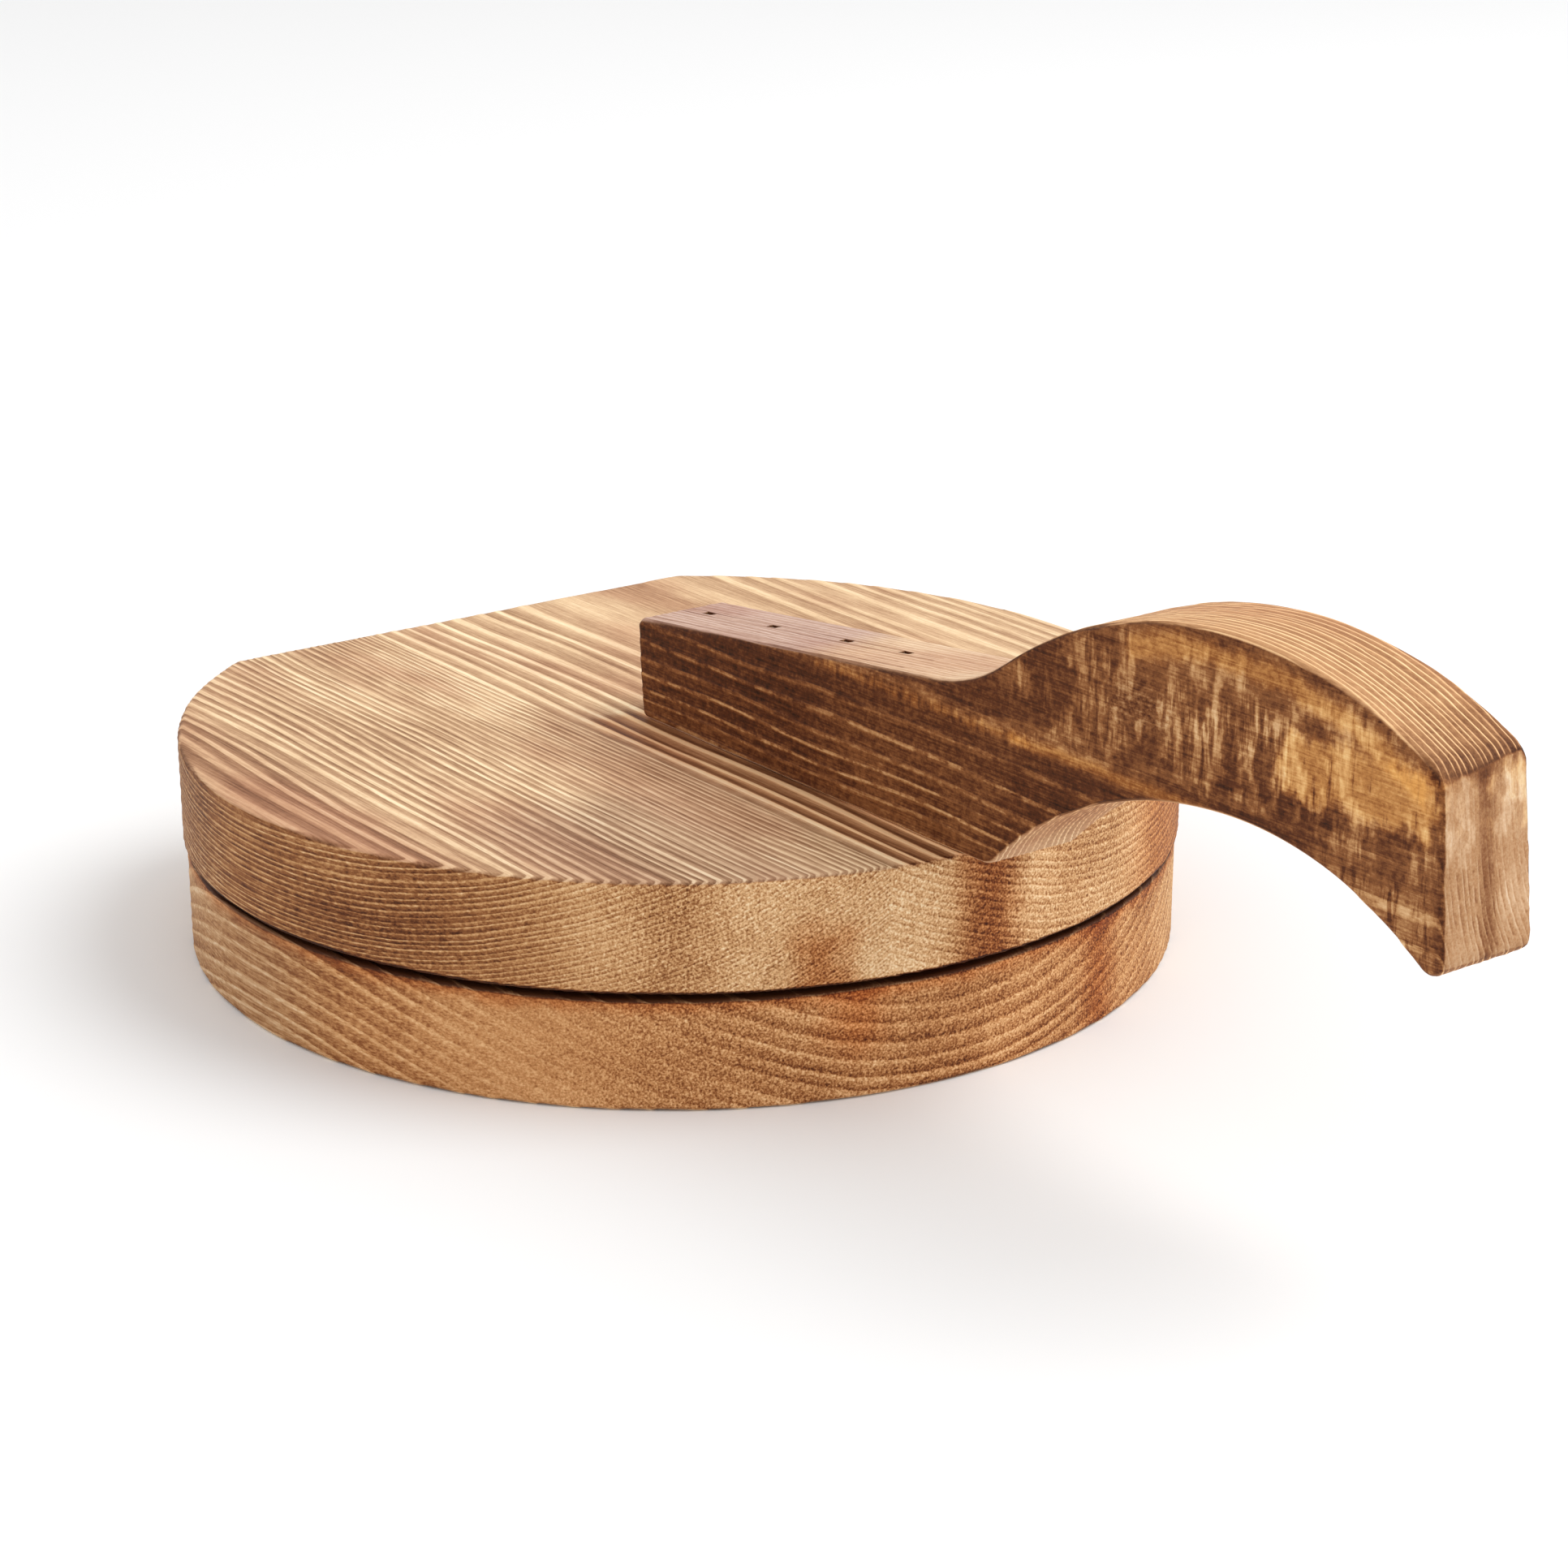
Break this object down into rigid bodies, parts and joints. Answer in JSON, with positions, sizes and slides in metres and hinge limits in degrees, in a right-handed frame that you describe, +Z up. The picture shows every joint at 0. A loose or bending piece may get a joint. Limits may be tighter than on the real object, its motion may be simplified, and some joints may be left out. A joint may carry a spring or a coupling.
{
  "type": "dumpling wrapper press",
  "caption": "Hinged wooden press for flattening dumpling wrappers: stacked round boards with a straight back edge and an arched lever handle on the upper board.",
  "frame": {"origin": "centre of the lower disc on the face it rests on", "axes": "+Z up through both boards, +Y towards the straight back edge with the hinges, -Y towards the end of the handle"},
  "size_m": [0.15, 0.2256, 0.0748],
  "materials": {
    "lower_board": "torched softwood, brushed, unvarnished",
    "upper_board": "torched softwood, brushed, unvarnished",
    "handle": "dark torched softwood, sawn sides",
    "brads": "blackened by the torch",
    "hinge_leaf": "brass-plated pressed steel",
    "hinge_pin": "brass-plated wire",
    "hinge_screws": "brass-plated"
  },
  "bodies": {
    "base": {"lower_board": "lower_board", "left_lower_leaf": "hinge_leaf", "left_lower_screws": "hinge_screws", "left_hinge_pin": "hinge_pin", "right_lower_leaf": "hinge_leaf", "right_lower_screws": "hinge_screws", "right_hinge_pin": "hinge_pin"},
    "lid": {"upper_board": "upper_board", "handle": "handle", "handle_brads": "brads", "left_upper_leaf": "hinge_leaf", "left_upper_screws": "hinge_screws", "right_upper_leaf": "hinge_leaf", "right_upper_screws": "hinge_screws"}
  },
  "joints": [
    {"name": "lid_hinge", "type": "hinge", "parent": "base", "child": "lid", "pos_m": [0, 0.0639, 0.0164], "axis": [-1, 0, 0], "range_deg": [0, 165]}
  ]
}
